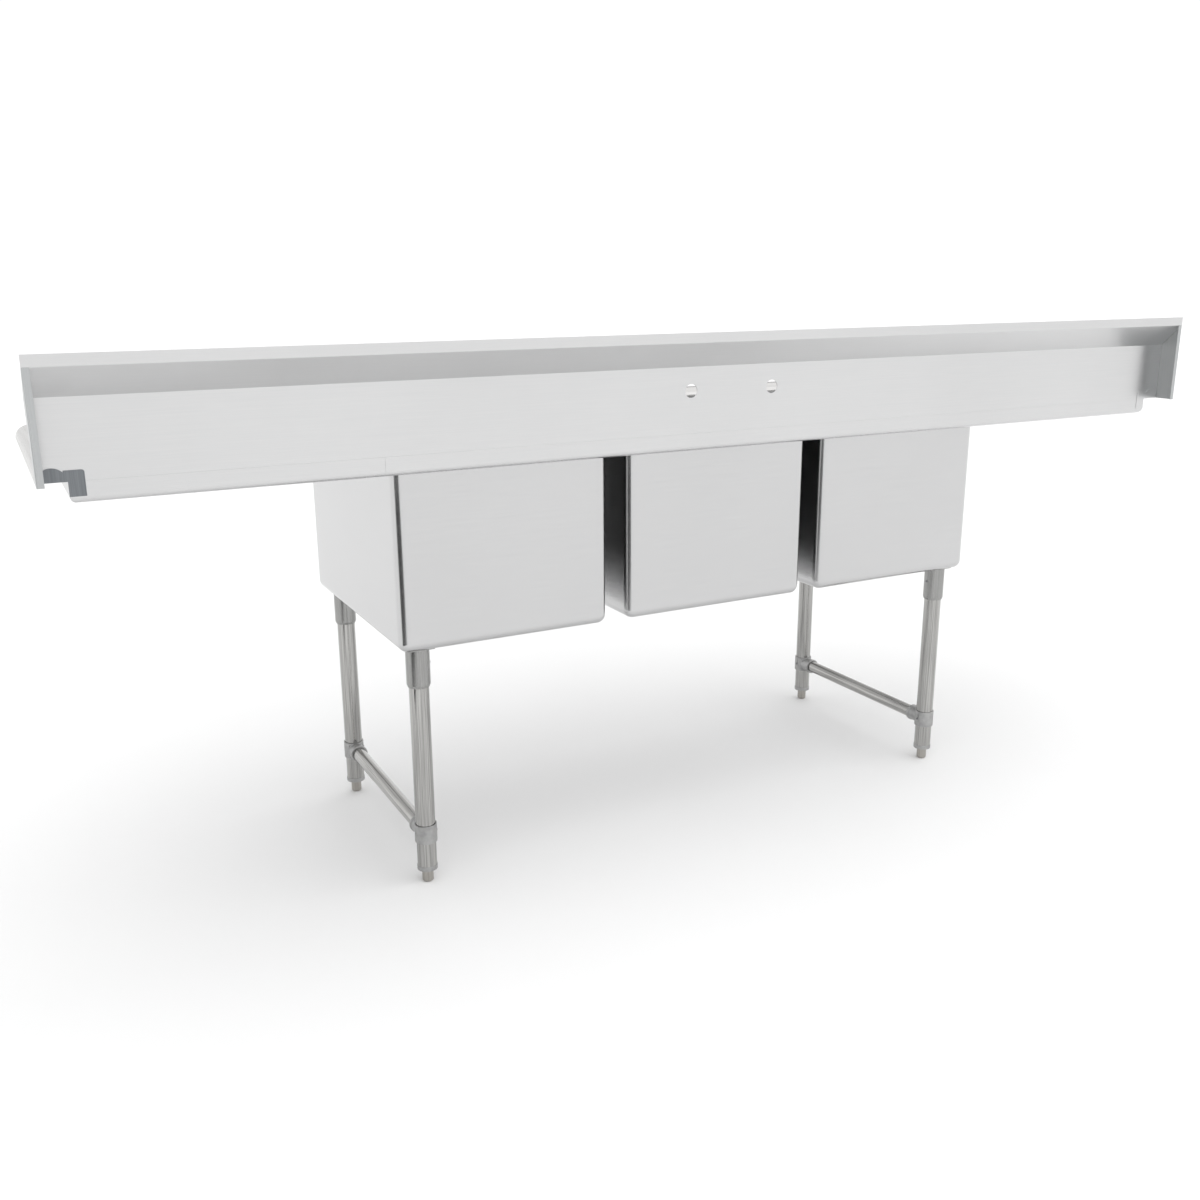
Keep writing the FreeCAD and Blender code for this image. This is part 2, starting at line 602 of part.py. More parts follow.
def make_basket(name, place_number):
    """A lift-out strainer: a perforated cup with a lip and a knob to pull it by."""
    x = "%d * Dims.bowl_pitch" % place_number
    gap = "Dims.stem_gap"
    lip_low = "(Dims.drain_ledge + %s)" % gap
    lip_top = "(Dims.drain_ledge + %s + Dims.gauge)" % gap
    floor_low = "(Dims.drain_floor + 4 * Dims.drain_wall)"
    floor_top = "(Dims.drain_floor + 4 * Dims.drain_wall + Dims.gauge)"
    body = new_body("basket_" + name, x, BOWL_MIDDLE)
    section = new_sketch(body, "basket_section_" + name, "XZ_Plane")
    post = "2 * Dims.drain_wall"
    knob = "4 * Dims.drain_wall"
    knob_low = "(%s + Dims.gauge + 2 * Dims.drain_wall)" % BOWL_FLOOR
    knob_top = "(%s + Dims.gauge + 6 * Dims.drain_wall)" % BOWL_FLOOR
    polygon(section, [
        ("0", floor_low), ("Dims.basket_cup", floor_low), ("Dims.basket_cup", lip_low),
        ("Dims.basket_radius", lip_low), ("Dims.basket_radius", lip_top),
        ("Dims.basket_cup - Dims.gauge", lip_top), ("Dims.basket_cup - Dims.gauge", floor_top),
        (post, floor_top), (post, knob_low), (knob, knob_low), (knob, knob_top),
        ("0", knob_top)])
    revolve(body, "basket_turned_" + name, section)
    doc.recompute()
    current = body.Tip
    for ring_name, radius, count in (("inner", 12, 8), ("outer", 24, 16)):
        holes = new_sketch(body, "%s_hole_sketch_%s" % (ring_name, name), "XY_Plane", floor_low)
        circle(holes, str(radius), "0", "1.5 * Dims.drain_wall")
        hole = pocket(body, "%s_hole_%s" % (ring_name, name), holes, "8 * Dims.gauge")
        ring = body.newObject("PartDesign::PolarPattern", "%s_holes_%s" % (ring_name, name))
        ring.Originals = [hole]
        ring.Axis = (holes, ["N_Axis"])
        ring.Angle = 360
        ring.Occurrences = count
        body.Tip = ring
        doc.recompute()
    keep("strainer_basket_" + name, body)


# ---------------------------------------------------------------- legs

LEG_X = "(Dims.bowl_pitch + Dims.bowl_width / 2 - Dims.leg_inset)"
LEG_REAR = "(%s - Dims.leg_inset)" % BOWL_BACK
LEG_FRONT = "(-%s + Dims.leg_inset)" % WALL_Y
# Each leg: name, side, which way its brace points, and where it stands.
LEGS = [("%s_%s" % (row, name), side, toward, "%d * %s" % (side, LEG_X), y)
        for name, side in SIDES
        for row, toward, y in (("front", 1, LEG_FRONT), ("rear", -1, LEG_REAR))]
LEG_BORE = "(Dims.leg_radius + Dims.fit_gap)"
PLATE_LOW = "(Dims.bowl_bottom - Dims.mount_plate)"
SCREW_HEIGHT = "(Dims.socket_bottom + 16 * Dims.mount_plate)"


def make_leg_tube(name, x, y):
    top = "(%s - 2 * Dims.mount_plate)" % PLATE_LOW
    outer = cylinder("tube_outer_" + name, "Dims.leg_radius", top + " - Dims.leg_bottom",
                     (x, y, "Dims.leg_bottom"))
    inner = cylinder("tube_inner_" + name, "Dims.leg_radius - Dims.leg_wall",
                     top + " - Dims.leg_bottom", (x, y, "Dims.leg_bottom"))
    keep("leg_tube_" + name, cut("tube_" + name, outer, inner))


def make_socket(name, side, x, y):
    """A closed-top socket under the bowl, tapered at its mouth, with a set screw hole."""
    taper = "2 * Dims.mount_plate"
    ring = cylinder("socket_ring_" + name, "Dims.socket_radius",
                    "%s - Dims.socket_bottom - %s" % (PLATE_LOW, taper),
                    (x, y, "Dims.socket_bottom + " + taper))
    mouth = cone("socket_mouth_" + name, LEG_BORE + " + Dims.gauge", "Dims.socket_radius", taper,
                 (x, y, "Dims.socket_bottom"))
    bore = cylinder("socket_bore_" + name, LEG_BORE,
                    "%s - Dims.mount_plate - Dims.socket_bottom" % PLATE_LOW,
                    (x, y, "Dims.socket_bottom"))
    tap_x = "%s - Dims.socket_radius" % x if side > 0 else x
    screw = cylinder("socket_tap_" + name, "Dims.screw_radius", "Dims.socket_radius",
                     (tap_x, y, SCREW_HEIGHT), along="x")
    solid = fuse("socket_solid_" + name, [ring, mouth])
    tools = fuse("socket_tools_" + name, [bore, screw])
    keep("leg_socket_" + name, cut("socket_" + name, solid, tools))


def make_fitting(name, side, toward, x, y):
    """A T-fitting: a collar round the leg and a branch that takes the brace's end."""
    low = "(Dims.brace_height - Dims.collar_height / 2)"
    collar = cylinder("collar_" + name, "Dims.collar_radius", "Dims.collar_height", (x, y, low))
    mouth = "(Dims.branch_reach - 2 * Dims.mount_plate)"
    start = y if toward > 0 else "%s - %s" % (y, mouth)
    lip = "%s + %s" % (y, mouth) if toward > 0 else "%s - Dims.branch_reach" % y
    branch = cylinder("branch_" + name, "Dims.branch_radius", mouth,
                      (x, start, "Dims.brace_height"), along="y")
    flare = cylinder("flare_" + name, "Dims.branch_radius + Dims.gauge", "2 * Dims.mount_plate",
                     (x, lip, "Dims.brace_height"), along="y")
    bore = cylinder("collar_bore_" + name, LEG_BORE, "Dims.collar_height", (x, y, low))
    brace_start = y if toward > 0 else y + " - Dims.branch_reach"
    brace_bore = cylinder("branch_bore_" + name, "Dims.brace_radius + Dims.fit_gap",
                          "Dims.branch_reach", (x, brace_start, "Dims.brace_height"), along="y")
    tap_x = "%s - Dims.collar_radius" % x if side > 0 else x
    tap = cylinder("collar_tap_" + name, "Dims.screw_radius", "Dims.collar_radius",
                   (tap_x, y, "Dims.brace_height"), along="x")
    solid = fuse("fitting_solid_" + name, [collar, branch, flare])
    tools = fuse("fitting_tools_" + name, [bore, brace_bore, tap])
    keep("brace_fitting_" + name, cut("fitting_" + name, solid, tools))


def make_brace(name, side):
    """A tube from the front leg's fitting to the rear leg's fitting."""
    x = "%d * %s" % (side, LEG_X)
    clear = "(Dims.collar_radius + Dims.mount_plate)"
    start = "%s + %s" % (LEG_FRONT, clear)
    run = "%s - %s - 2 * %s" % (LEG_REAR, LEG_FRONT, clear)
    outer = cylinder("brace_outer_" + name, "Dims.brace_radius", run,
                     (x, start, "Dims.brace_height"), along="y")
    inner = cylinder("brace_inner_" + name, "Dims.brace_radius - Dims.leg_wall", run,
                     (x, start, "Dims.brace_height"), along="y")
    keep("cross_brace_" + name, cut("brace_" + name, outer, inner))


def make_insert(name, x, y):
    """A plug in the leg's lower end, with a flange below it and a bore for the foot's stem."""
    flange = cylinder("insert_flange_" + name, "Dims.insert_radius",
                      "Dims.leg_bottom - Dims.insert_bottom", (x, y, "Dims.insert_bottom"))
    plug = cylinder("insert_plug_" + name, "Dims.leg_radius - Dims.leg_wall - Dims.fit_gap",
                    "Dims.insert_top - Dims.leg_bottom", (x, y, "Dims.leg_bottom"))
    bore = cylinder("insert_bore_" + name, "Dims.stem_radius + Dims.stem_gap",
                    "Dims.insert_top - Dims.insert_bottom", (x, y, "Dims.insert_bottom"))
    solid = fuse("insert_solid_" + name, [flange, plug])
    keep("foot_insert_" + name, cut("insert_" + name, solid, bore))


def make_foot(name, x, y):
    """The adjustable foot: a stub with a chamfered sole, a shoulder, and a stem."""
    sole = "Dims.foot_radius - 2 * Dims.gauge"
    bevel = cone("foot_sole_" + name, sole, "Dims.foot_radius", "2 * Dims.gauge", (x, y, "0"))
    stub = cylinder("foot_stub_" + name, "Dims.foot_radius",
                    "Dims.foot_height - 2 * Dims.gauge", (x, y, "2 * Dims.gauge"))
    shoulder_top = "(Dims.insert_bottom - Dims.stem_gap)"
    shoulder = cone("foot_shoulder_" + name, "Dims.foot_radius", "Dims.foot_radius + Dims.gauge",
                    shoulder_top + " - Dims.foot_height", (x, y, "Dims.foot_height"))
    stem = cylinder("foot_stem_" + name, "Dims.stem_radius", "Dims.stem_top - " + shoulder_top,
                    (x, y, shoulder_top))
    keep("adjustable_foot_" + name, fuse("foot_" + name, [bevel, stub, shoulder, stem]))


def set_screw(name, side, x, y, z, surface):
    """A short screw through a socket's or collar's wall, on the side facing the middle."""
    start = "%s + %s" % (x, LEG_BORE)
    if side > 0:
        start = "%s - %s - Dims.gauge" % (x, surface)
    run = "%s - %s + Dims.gauge" % (surface, LEG_BORE)
    return cylinder(name, "Dims.screw_radius - Dims.fit_gap", run, (start, y, z), along="x")


def make_leg_pieces():
    plates = []
    socket_screws = []
    fitting_screws = []
    for name, side, toward, x, y in LEGS:
        half = "Dims.mount_size / 2"
        plates.append(box("mount_plate_" + name, ("Dims.mount_size", "Dims.mount_size",
                                                  "Dims.mount_plate"),
                          ("%s - %s" % (x, half), "%s - %s" % (y, half), PLATE_LOW)))
        make_socket(name, side, x, y)
        make_leg_tube(name, x, y)
        make_fitting(name, side, toward, x, y)
        make_insert(name, x, y)
        make_foot(name, x, y)
        socket_screws.append(set_screw("socket_screw_" + name, side, x, y, SCREW_HEIGHT,
                                       "Dims.socket_radius"))
        fitting_screws.append(set_screw("fitting_screw_" + name, side, x, y,
                                        "Dims.brace_height", "Dims.collar_radius"))
    keep("leg_mount_plates", group("mount_plates", plates))
    keep("socket_set_screws", group("socket_screws", socket_screws))
    keep("brace_fitting_set_screws", group("fitting_screws", fitting_screws))


# ---------------------------------------------------------------- the whole sink

def check_document():
    """Stop before anything is written if a feature failed or a shape is not sound."""
    doc.recompute()
    problems = []
    for feature in doc.Objects:
        if "Invalid" in feature.State or "Error" in feature.State:
            problems.append("%s is %s" % (feature.Name, feature.State))
    for feature in nodes:
        shape = feature.Shape
        if shape.isNull() or not shape.isValid() or not shape.Solids:
            problems.append("%s has no sound solid" % feature.Label)
    if problems:
        raise RuntimeError("; ".join(problems))


def write_files():
    os.makedirs("parts", exist_ok=True)
    for feature in nodes:
        feature.Shape.exportStep("parts/%s.step" % feature.Label)
        limits = feature.Shape.BoundBox
        print("%-28s solids %d  volume %10.0f  x %8.1f %8.1f  y %7.1f %7.1f  z %7.1f %7.1f" % (
            feature.Label, len(feature.Shape.Solids), feature.Shape.Volume,
            limits.XMin, limits.XMax, limits.YMin, limits.YMax, limits.ZMin, limits.ZMax))


make_backsplash()
make_bowl_deck()
make_front_rim()
for end_name, end_side in SIDES:
    make_end_cap(end_name, end_side)
    make_closing_plate(end_name, end_side)
    make_drainboard(end_name, end_side)
    make_side_rim(end_name, end_side)
    make_rim_corner(end_name, end_side)
    make_brace(end_name, end_side)
for bowl_name, bowl_place in BOWLS:
    make_bowl(bowl_name, bowl_place)
    make_drain(bowl_name, bowl_place)
    make_basket(bowl_name, bowl_place)
make_leg_pieces()
check_document()
write_files()
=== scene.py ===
"""Looks for the three compartment sink: brushed stainless, with painted shade in the end caps, the
right rim closing plate and the legs and braces; weld beads, screws, studio.
"""
import math

import bmesh
import bpy
from mathutils import Matrix, Vector


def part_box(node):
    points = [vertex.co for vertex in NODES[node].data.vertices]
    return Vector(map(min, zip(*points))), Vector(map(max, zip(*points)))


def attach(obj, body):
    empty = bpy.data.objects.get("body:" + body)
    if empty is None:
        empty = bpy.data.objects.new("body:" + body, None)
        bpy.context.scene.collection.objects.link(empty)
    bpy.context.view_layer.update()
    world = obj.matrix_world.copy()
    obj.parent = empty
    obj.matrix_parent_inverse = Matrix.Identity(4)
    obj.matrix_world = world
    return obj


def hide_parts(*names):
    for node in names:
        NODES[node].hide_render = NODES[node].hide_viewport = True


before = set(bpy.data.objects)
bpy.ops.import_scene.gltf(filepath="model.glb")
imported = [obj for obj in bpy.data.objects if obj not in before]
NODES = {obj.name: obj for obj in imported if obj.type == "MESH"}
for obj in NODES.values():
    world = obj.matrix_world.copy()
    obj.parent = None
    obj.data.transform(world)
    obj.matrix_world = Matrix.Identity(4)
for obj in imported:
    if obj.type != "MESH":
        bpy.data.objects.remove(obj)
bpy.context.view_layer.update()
LEGS = [row + "_" + side for side in ("left", "right") for row in ("front", "rear")]


# ---------------------------------------------------------------- materials

NOISE_ROUGHNESS = 0.55
EVEN = (1, 1, 1)    # noise that is not drawn out along any axis


def new_material(name):
    """A node material, its tree, and its shader."""
    material = bpy.data.materials.new(name)
    material.use_nodes = True
    tree = material.node_tree
    return material, tree, tree.nodes["Principled BSDF"]


def noise(tree, scale, stretch, detail=3.0):
    """Object-space noise, drawn out along the axes whose stretch is small."""
    place = tree.nodes.new("ShaderNodeTexCoord")
    mapping = tree.nodes.new("ShaderNodeMapping")
    mapping.inputs["Scale"].default_value = stretch
    texture = tree.nodes.new("ShaderNodeTexNoise")
    texture.inputs["Scale"].default_value = scale
    texture.inputs["Detail"].default_value = detail
    texture.inputs["Roughness"].default_value = NOISE_ROUGHNESS
    tree.links.new(place.outputs["Object"], mapping.inputs["Vector"])
    tree.links.new(mapping.outputs["Vector"], texture.inputs["Vector"])
    return texture.outputs["Fac"]


def spread(tree, source, low, high, start=0.3, end=0.7):
    """Map a noise value to a range."""
    ranged = tree.nodes.new("ShaderNodeMapRange")
    ranged.inputs["From Min"].default_value = start
    ranged.inputs["From Max"].default_value = end
    ranged.inputs["To Min"].default_value = low
    ranged.inputs["To Max"].default_value = high
    tree.links.new(source, ranged.inputs["Value"])
    return ranged.outputs["Result"]


def tint(tree, source, dark, light, start=0.3, end=0.7):
    """Map a noise value to a colour between dark and light."""
    ramp = tree.nodes.new("ShaderNodeValToRGB")
    ramp.color_ramp.elements[0].position = start
    ramp.color_ramp.elements[1].position = end
    ramp.color_ramp.elements[0].color = (*dark, 1)
    ramp.color_ramp.elements[1].color = (*light, 1)
    tree.links.new(source, ramp.inputs["Fac"])
    return ramp.outputs["Color"]


def multiply_colors(tree, first, second):
    """The product of two colours."""
    mix = tree.nodes.new("ShaderNodeMix")
    mix.data_type = "RGBA"
    mix.blend_type = "MULTIPLY"
    mix.inputs["Factor"].default_value = 1.0
    tree.links.new(first, mix.inputs["A"])
    tree.links.new(second, mix.inputs["B"])
    return mix.outputs["Result"]


def raise_surface(tree, shader, source, strength, distance, before=None):
    """Bump from a noise value, added to an earlier bump if there is one."""
    bump = tree.nodes.new("ShaderNodeBump")
    bump.inputs["Strength"].default_value = strength
    bump.inputs["Distance"].default_value = distance
    tree.links.new(source, bump.inputs["Height"])
    if before is not None:
        tree.links.new(before, bump.inputs["Normal"])
    tree.links.new(bump.outputs["Normal"], shader.inputs["Normal"])
    return bump.outputs["Normal"]


# Which way the grain runs: small numbers draw the noise out along that axis.
GRAIN_X = (0.012, 1, 1)
GRAIN_Y = (1, 0.012, 1)
GRAIN_Z = (1, 1, 0.012)
GRAIN_LEVEL = (0.012, 0.012, 1)


def grain_noise(tree, scale, wall, level, detail):
    """Drawn-out noise with one direction on upright faces and another on level ones."""
    upright = noise(tree, scale, wall, detail)
    if level is None:
        return upright
    flat = noise(tree, scale, level, detail)
    geometry = tree.nodes.new("ShaderNodeNewGeometry")
    split = tree.nodes.new("ShaderNodeSeparateXYZ")
    size = tree.nodes.new("ShaderNodeMath")
    size.operation = "ABSOLUTE"
    tree.links.new(geometry.outputs["Normal"], split.inputs["Vector"])
    tree.links.new(split.outputs["Z"], size.inputs[0])
    mix = tree.nodes.new("ShaderNodeMix")
    tree.links.new(spread(tree, size.outputs["Value"], 0.0, 1.0, 0.55, 0.85),
                   mix.inputs["Factor"])
    tree.links.new(upright, mix.inputs["A"])
    tree.links.new(flat, mix.inputs["B"])
    return mix.outputs["Result"]


CLOUD_SCALE = 2.2
CLOUD_DEPTH = 0.03      # how much the handling marks darken the steel
BAND_WIDTH = 6          # how many times wider than the grain the roughness bands are
GRAIN_HEIGHT = 0.0002


def brushed(name, dark, light, roughness, grain, level=None, fine=900.0, groove=0.03,
            swing=0.03):
    """Brushed stainless: fine drawn-out grain, wider streaks, and faint cloudy handling marks."""
    material, tree, shader = new_material(name)
    shader.inputs["Metallic"].default_value = 1.0
    streaks = grain_noise(tree, fine, grain, level, 2.0)
    bands = grain_noise(tree, fine / BAND_WIDTH, grain, level, 3.0)
    clouds = noise(tree, CLOUD_SCALE, EVEN, 4.0)
    streak_color = tint(tree, streaks, dark, light)
    cloud_color = tint(tree, clouds, (1 - CLOUD_DEPTH,) * 3, EVEN)
    color = multiply_colors(tree, streak_color, cloud_color)
    tree.links.new(color, shader.inputs["Base Color"])
    tree.links.new(spread(tree, bands, roughness - swing, roughness + swing),
                   shader.inputs["Roughness"])
    raise_surface(tree, shader, streaks, groove, GRAIN_HEIGHT)
    return material


def cast(name, dark, light, roughness):
    """Die-cast or blasted metal: fine pits and soft mottling."""
    material, tree, shader = new_material(name)
    shader.inputs["Metallic"].default_value = 1.0
    pits = noise(tree, 1400.0, EVEN, 3.0)
    mottle = noise(tree, 60.0, EVEN, 4.0)
    tree.links.new(tint(tree, mottle, dark, light), shader.inputs["Base Color"])
    tree.links.new(spread(tree, pits, roughness - 0.06, roughness + 0.1), shader.inputs["Roughness"])
    first = raise_surface(tree, shader, mottle, 0.15, 0.0006)
    raise_surface(tree, shader, pits, 0.35, 0.0003, before=first)
    return material


def weld_metal(name, dark, light):
    """A dressed weld: ripples, with heat colour that varies along it."""
    material, tree, shader = new_material(name)
    shader.inputs["Metallic"].default_value = 1.0
    heat = noise(tree, 45.0, EVEN, 4.0)
    grit = noise(tree, 1800.0, EVEN, 2.0)
    tree.links.new(tint(tree, heat, dark, light), shader.inputs["Base Color"])
    tree.links.new(spread(tree, grit, 0.28, 0.48), shader.inputs["Roughness"])
    raise_surface(tree, shader, grit, 0.25, 0.0002)
    return material


def rubber(name):
    """Black rubber with a fine grain."""
    material, tree, shader = new_material(name)
    grain = noise(tree, 900.0, EVEN, 3.0)
    tree.links.new(tint(tree, grain, (0.018, 0.018, 0.018), (0.05, 0.05, 0.05)),
                   shader.inputs["Base Color"])
    tree.links.new(spread(tree, grain, 0.55, 0.75), shader.inputs["Roughness"])
    raise_surface(tree, shader, grain, 0.2, 0.0003)
    return material


MATERIALS = {
    "sheet": brushed("sheet_steel", (0.618, 0.620, 0.623), (0.640, 0.640, 0.640), 0.30,
                     GRAIN_LEVEL, level=GRAIN_X, groove=0.012, swing=0.015),
    "bowl": brushed("bowl_steel", (0.565, 0.565, 0.570), (0.595, 0.595, 0.595), 0.22,
                    GRAIN_LEVEL, level=GRAIN_Y, groove=0.012, swing=0.015),
    # End caps: a darker, bluish copy of the sheet steel; the tone is painted shade.
    "cap": brushed("cap_steel_painted_shade", (0.440, 0.453, 0.456), (0.475, 0.486, 0.490), 0.30, GRAIN_Z),
    # Right rim closing plate: a dark bluish copy of the sheet steel with coarser grain. The dark
    # tone is painted shade, and the left plate keeps the plain sheet.
    "painted_shade_plate": brushed("ground_steel", (0.175, 0.187, 0.198), (0.225, 0.238, 0.25), 0.42, GRAIN_Z,
                     fine=500.0, groove=0.15),
    "rim_x": brushed("rim_steel_long", (0.44, 0.435, 0.43), (0.52, 0.515, 0.51), 0.20, GRAIN_X),
    "rim_y": brushed("rim_steel_side", (0.40, 0.395, 0.385), (0.48, 0.475, 0.465), 0.20, GRAIN_Y),
    # Leg and brace tubes: streaky brushing grain. The whole tone is lowered well below the sheet
    # steel as painted shade.
    "leg": brushed("leg_steel", (0.27, 0.267, 0.26), (0.54, 0.535, 0.52), 0.14, GRAIN_Z,
                   fine=500.0, groove=0.06),
    "brace": brushed("brace_steel_painted_shade", (0.27, 0.267, 0.26), (0.54, 0.535, 0.52), 0.14, GRAIN_Y,
                     fine=500.0, groove=0.06),
    "socket": brushed("socket_steel", (0.28, 0.28, 0.275), (0.38, 0.38, 0.372), 0.26, GRAIN_Z),
    "fitting": cast("cast_fitting", (0.34, 0.34, 0.34), (0.46, 0.46, 0.455), 0.45),
    "foot": brushed("foot_steel", (0.33, 0.315, 0.29), (0.50, 0.48, 0.45), 0.33, GRAIN_Z),
    "screw": cast("screw_steel", (0.20, 0.20, 0.21), (0.32, 0.32, 0.33), 0.35),
    "drain": brushed("drain_steel", (0.66, 0.66, 0.665), (0.78, 0.78, 0.78), 0.16, EVEN,
                     fine=300.0, groove=0.04),
    "basket": brushed("basket_steel", (0.62, 0.62, 0.625), (0.74, 0.74, 0.74), 0.2, EVEN,
                      fine=300.0, groove=0.05),
    "weld": weld_metal("weld_metal", (0.42, 0.40, 0.38), (0.66, 0.65, 0.63)),
    "gasket": rubber("gasket_rubber"),
}

# Which material each CAD node takes, by the start of its name.
NODE_MATERIALS = [
    ("backsplash_panel", "sheet"), ("bowl_deck", "sheet"), ("drainboard_", "sheet"),
    ("splash_end_cap_", "cap"), ("rim_closing_plate_right", "painted_shade_plate"),
    ("rim_closing_plate_left", "sheet"), ("bowl_", "bowl"), ("rolled_rim_front", "rim_x"),
    ("rolled_rim_", "rim_y"), ("rim_corner_", "rim_y"), ("leg_socket_", "socket"),
    ("leg_mount_plates", "socket"), ("leg_tube_", "leg"), ("cross_brace_", "brace"),
    ("brace_fitting_set_screws", "screw"), ("socket_set_screws", "screw"),
    ("brace_fitting_", "fitting"), ("foot_insert_", "fitting"), ("adjustable_foot_", "foot"),
    ("drain_body_", "drain"), ("drain_locknut_", "fitting"), ("drain_gasket_", "gasket"),
    ("strainer_basket_", "basket"),
]

# Edge rounding of the CAD nodes, in metres.
SHEET_EDGE = 0.0003
TURNED_EDGE = 0.0008


def finish_node(name, node):
    """Give a CAD node its material, rounded edges and clean shading."""
    kind = next(key for start, key in NODE_MATERIALS if name.startswith(start))
    node.data.materials.clear()
    node.data.materials.append(MATERIALS[kind])
    weld = node.modifiers.new("join_seams", "WELD")
    weld.merge_threshold = 0.00002
    bevel = node.modifiers.new("edge_round", "BEVEL")
    bevel.limit_method = "ANGLE"
    bevel.angle_limit = math.radians(40)
    bevel.width = TURNED_EDGE if kind in ("fitting", "foot", "socket") else SHEET_EDGE
    bevel.segments = 2
    normals = node.modifiers.new("even_normals", "WEIGHTED_NORMAL")
    normals.weight = 80


for node_name, node_object in NODES.items():
    finish_node(node_name, node_object)


# ---------------------------------------------------------------- pieces

def add_mesh(name, mesh_data, material, replaces=()):
    """A smooth-shaded piece on the sink's fixed body."""
    piece = bpy.data.objects.new(name, mesh_data)
    bpy.context.scene.collection.objects.link(piece)
    piece.data.materials.append(MATERIALS[material])
    for face in piece.data.polygons:
        face.use_smooth = True
    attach(piece, "root")
    if replaces:
        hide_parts(*replaces)
    return piece


def join_rings(mesh, rings, closed):
    """Faces between rings of equal length; closed joins the last to the first, else caps."""
    count = len(rings[0])
    pairs = list(zip(rings, rings[1:]))
    if closed:
        pairs.append((rings[-1], rings[0]))
    for low, high in pairs:
        for index in range(count):
            after = (index + 1) % count
            mesh.faces.new((low[index], low[after], high[after], high[index]))
    if not closed:
        mesh.faces.new(list(reversed(rings[0])))
        mesh.faces.new(rings[-1])
    bmesh.ops.recalc_face_normals(mesh, faces=mesh.faces)


def finished_mesh(mesh, name):
    """Turn a bmesh into mesh data."""
    data = bpy.data.meshes.new(name)
    mesh.to_mesh(data)
    mesh.free()
    return data


SCREW_SEGMENTS = 36
HEX_KEY = 0.45       # flats of the key hole, as a share of the screw's width
KEY_DEPTH = 0.0012
SCREW_CHAMFER = 0.15 # chamfer, as a share of the screw's radius
KEY_MOUTH = 1.12     # the key hole's mouth, against the hole
KEY_LEAD = 0.12      # depth of that mouth, as a share of the screw's radius
NEAR_LEG = 0.06      # a screw is nearer than this to its own leg's centre line


def add_set_screw(mesh, center, radius, inward, outward):
    """A socket set screw along X: a chamfered disc with a six-sided key hole."""
    direction = 1 if outward > inward else -1
    chamfer = SCREW_CHAMFER * radius
    flat = HEX_KEY * radius
    profile = [(inward, radius, False), (outward - direction * chamfer, radius, False),
               (outward, radius - chamfer, False), (outward, flat * KEY_MOUTH, True),
               (outward - direction * KEY_LEAD * radius, flat, True),
               (outward - direction * KEY_DEPTH, flat, True)]
    rings = []
    for place, size, is_hexagon in profile:
        ring = []
        for index in range(SCREW_SEGMENTS):
            angle = 2 * math.pi * index / SCREW_SEGMENTS
            reach = size
            if is_hexagon:
                reach = size / math.cos(angle % (math.pi / 3) - math.pi / 6)
            ring.append(mesh.verts.new((place, center[1] + reach * math.cos(angle),
                                        center[2] + reach * math.sin(angle))))
        rings.append(ring)
    join_rings(mesh, rings, closed=False)


def set_screws(name, node_name, holders):
    """One detailed screw in place of each plain one that the CAD node has by a leg."""
    mesh = bmesh.new()
    points = [vertex.co.copy() for vertex in NODES[node_name].data.vertices]
    for holder in holders:
        low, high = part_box(holder)
        middle = (Vector(low) + Vector(high)) / 2
        near = [point for point in points
                if abs(point.x - middle.x) < NEAR_LEG and abs(point.y - middle.y) < NEAR_LEG]
        start = Vector([min(point[axis] for point in near) for axis in range(3)])
        end = Vector([max(point[axis] for point in near) for axis in range(3)])
        inner, outer = sorted((start.x, end.x), key=lambda place: abs(place - middle.x))
        add_set_screw(mesh, (start + end) / 2, (end.z - start.z) / 2, inner, outer)
    return add_mesh(name, finished_mesh(mesh, name), "screw",
                    replaces=(node_name,))


set_screws("socket_key_screws", "socket_set_screws", ["leg_socket_" + leg for leg in LEGS])
set_screws("brace_key_screws", "brace_fitting_set_screws",
           ["brace_fitting_" + leg for leg in LEGS])

BEAD_WIDTH = 0.0016
BEAD_SEGMENTS = 180
BEAD_RIPPLES = 45
BEAD_SIDES = 10
RIPPLE_DEPTH = 0.13    # how much the bead swells at each ripple
WANDER_DEPTH = 0.07    # slower swelling, a few times round
WANDERS = 3


def weld_ring(name, holder):
    """A rippled bead where the top of a leg socket meets its mounting plate."""
    low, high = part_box(holder)
    center = (Vector(low) + Vector(high)) / 2
    radius = (high[0] - low[0]) / 2
    mesh = bmesh.new()
    rings = []
    for index in range(BEAD_SEGMENTS):
        turn = 2 * math.pi * index / BEAD_SEGMENTS
        ripple = 1 + RIPPLE_DEPTH * math.cos(BEAD_RIPPLES * turn)
        ripple += WANDER_DEPTH * math.sin(WANDERS * turn)
        ring = []
        for side in range(BEAD_SIDES):
            around = 2 * math.pi * side / BEAD_SIDES
            reach = radius + BEAD_WIDTH * ripple * math.cos(around)
            ring.append(mesh.verts.new((center.x + reach * math.cos(turn),
                                        center.y + reach * math.sin(turn),
                                        high[2] + BEAD_WIDTH * ripple * math.sin(around))))
        rings.append(ring)
    join_rings(mesh, rings, closed=True)
    return add_mesh(name, finished_mesh(mesh, name), "weld")


for leg in LEGS:
    weld_ring("socket_weld_" + leg, "leg_socket_" + leg)


# ---------------------------------------------------------------- studio

def stage_object(name, mesh, material):
    """Something in the studio that is not part of the sink."""
    piece = bpy.data.objects.new(name, mesh)
    bpy.context.scene.collection.objects.link(piece)
    piece.data.materials.append(material)
    return piece


def plane_mesh(name, corners):
    """One four-sided face."""
    mesh = bpy.data.meshes.new(name)
    mesh.from_pydata(corners, [], [(0, 1, 2, 3)])
    return mesh


def plain_material(name, low, high, roughness):
    """A matt grey that varies softly between two values."""
    material, tree, shader = new_material(name)
    shader.inputs["Roughness"].default_value = roughness
    soft = noise(tree, 0.8, EVEN, 2.0)
    tree.links.new(tint(tree, soft, (low,) * 3, (high,) * 3), shader.inputs["Base Color"])
    return material


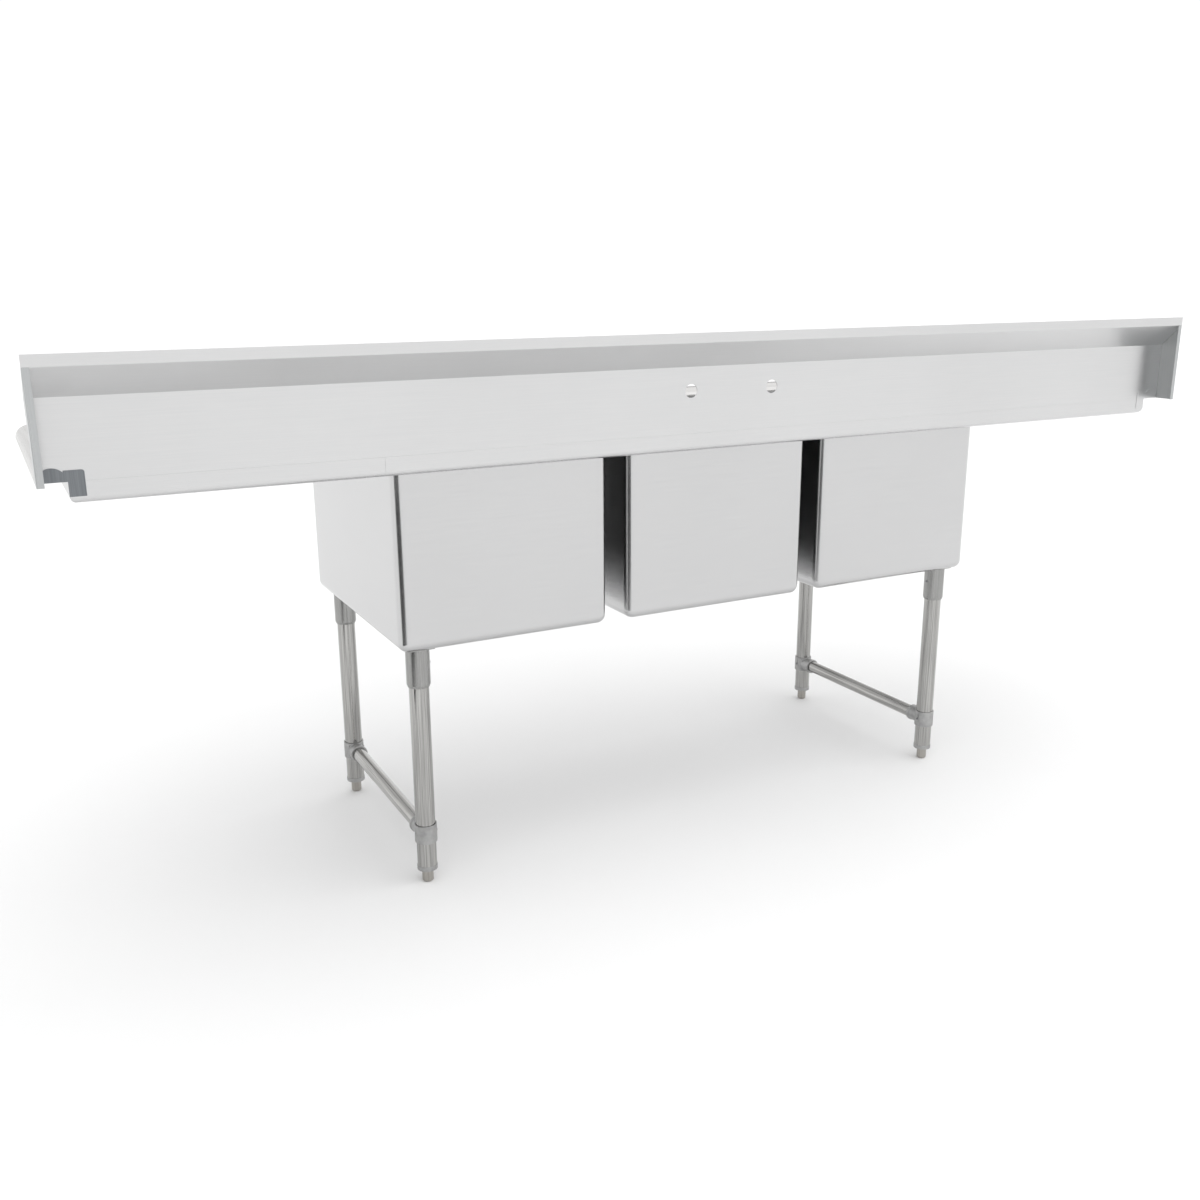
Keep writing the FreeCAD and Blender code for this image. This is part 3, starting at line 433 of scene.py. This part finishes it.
FLOOR_HALF = 60.0
stage_object(
    "studio_floor",
    plane_mesh("studio_floor", [(-FLOOR_HALF, -FLOOR_HALF, 0), (FLOOR_HALF, -FLOOR_HALF, 0),
                                (FLOOR_HALF, FLOOR_HALF, 0), (-FLOOR_HALF, FLOOR_HALF, 0)]),
    plain_material("studio_floor", 0.86, 0.88, 0.8))


# A low dark card beside the end, out of the camera's sight, for tubes and corners to reflect.
FLAG_X = 1.75
FLAG_START = 0.45
FLAG_END = 2.0
FLAG_HEIGHT = 0.8
side_flag = stage_object(
    "side_flag",
    plane_mesh("side_flag", [(FLAG_X, FLAG_START, 0.0), (FLAG_X, FLAG_END, 0.0),
                             (FLAG_X, FLAG_END, FLAG_HEIGHT), (FLAG_X, FLAG_START, FLAG_HEIGHT)]),
    plain_material("side_flag", 0.04, 0.05, 0.9))
side_flag.visible_camera = False
side_flag.visible_diffuse = False
side_flag.visible_shadow = False


def sun_light(name, toward, angle, power):
    """A sun shining toward a direction; a wide angle in degrees makes it soft."""
    data = bpy.data.lights.new(name, "SUN")
    data.energy = power
    data.angle = math.radians(angle)
    light = bpy.data.objects.new(name, data)
    bpy.context.scene.collection.objects.link(light)
    light.rotation_euler = Vector(toward).to_track_quat("-Z", "Y").to_euler()


def studio_world(horizon, zenith, low, high):
    """An even sky: bright round the horizon, dimmer overhead."""
    made = bpy.data.worlds.new("studio")
    made.use_nodes = True
    tree = made.node_tree
    place = tree.nodes.new("ShaderNodeTexCoord")
    split = tree.nodes.new("ShaderNodeSeparateXYZ")
    tree.links.new(place.outputs["Generated"], split.inputs["Vector"])
    strength = spread(tree, split.outputs["Z"], horizon, zenith, low, high)
    tree.links.new(strength, tree.nodes["Background"].inputs["Strength"])
    tree.nodes["Background"].inputs["Color"].default_value = (1.0, 1.0, 1.0, 1)
    return made


sun_light("key_light", (0.25, -0.35, -1.0), 110, 2.0)
bpy.context.scene.world = studio_world(1.05, 0.62, 0.25, 0.7)
bpy.context.scene.view_settings.view_transform = "Standard"

# ---------------------------------------------------------------- camera

CAMERA_PLACE = Vector((1.4245, 2.4097, 1.2419))
YAW = 0.4878      # turned from -Y towards -X
PITCH = 0.2701    # looking down
ROLL = -0.0050
LENS = 35.39      # mm on a 36 mm wide sensor

forward = Vector((-math.sin(YAW) * math.cos(PITCH), -math.cos(YAW) * math.cos(PITCH),
                  -math.sin(PITCH)))
level = Vector((-math.cos(YAW), math.sin(YAW), 0))
upward = level.cross(forward)
right = level * math.cos(ROLL) + upward * math.sin(ROLL)
above = upward * math.cos(ROLL) - level * math.sin(ROLL)
camera_data = bpy.data.cameras.new("camera")
camera_data.lens = LENS
camera_data.sensor_width = 36.0
camera = bpy.data.objects.new("camera", camera_data)
bpy.context.scene.collection.objects.link(camera)
axes = Matrix((right, above, -forward)).transposed()
camera.matrix_world = Matrix.Translation(CAMERA_PLACE) @ axes.to_4x4()
bpy.context.scene.camera = camera
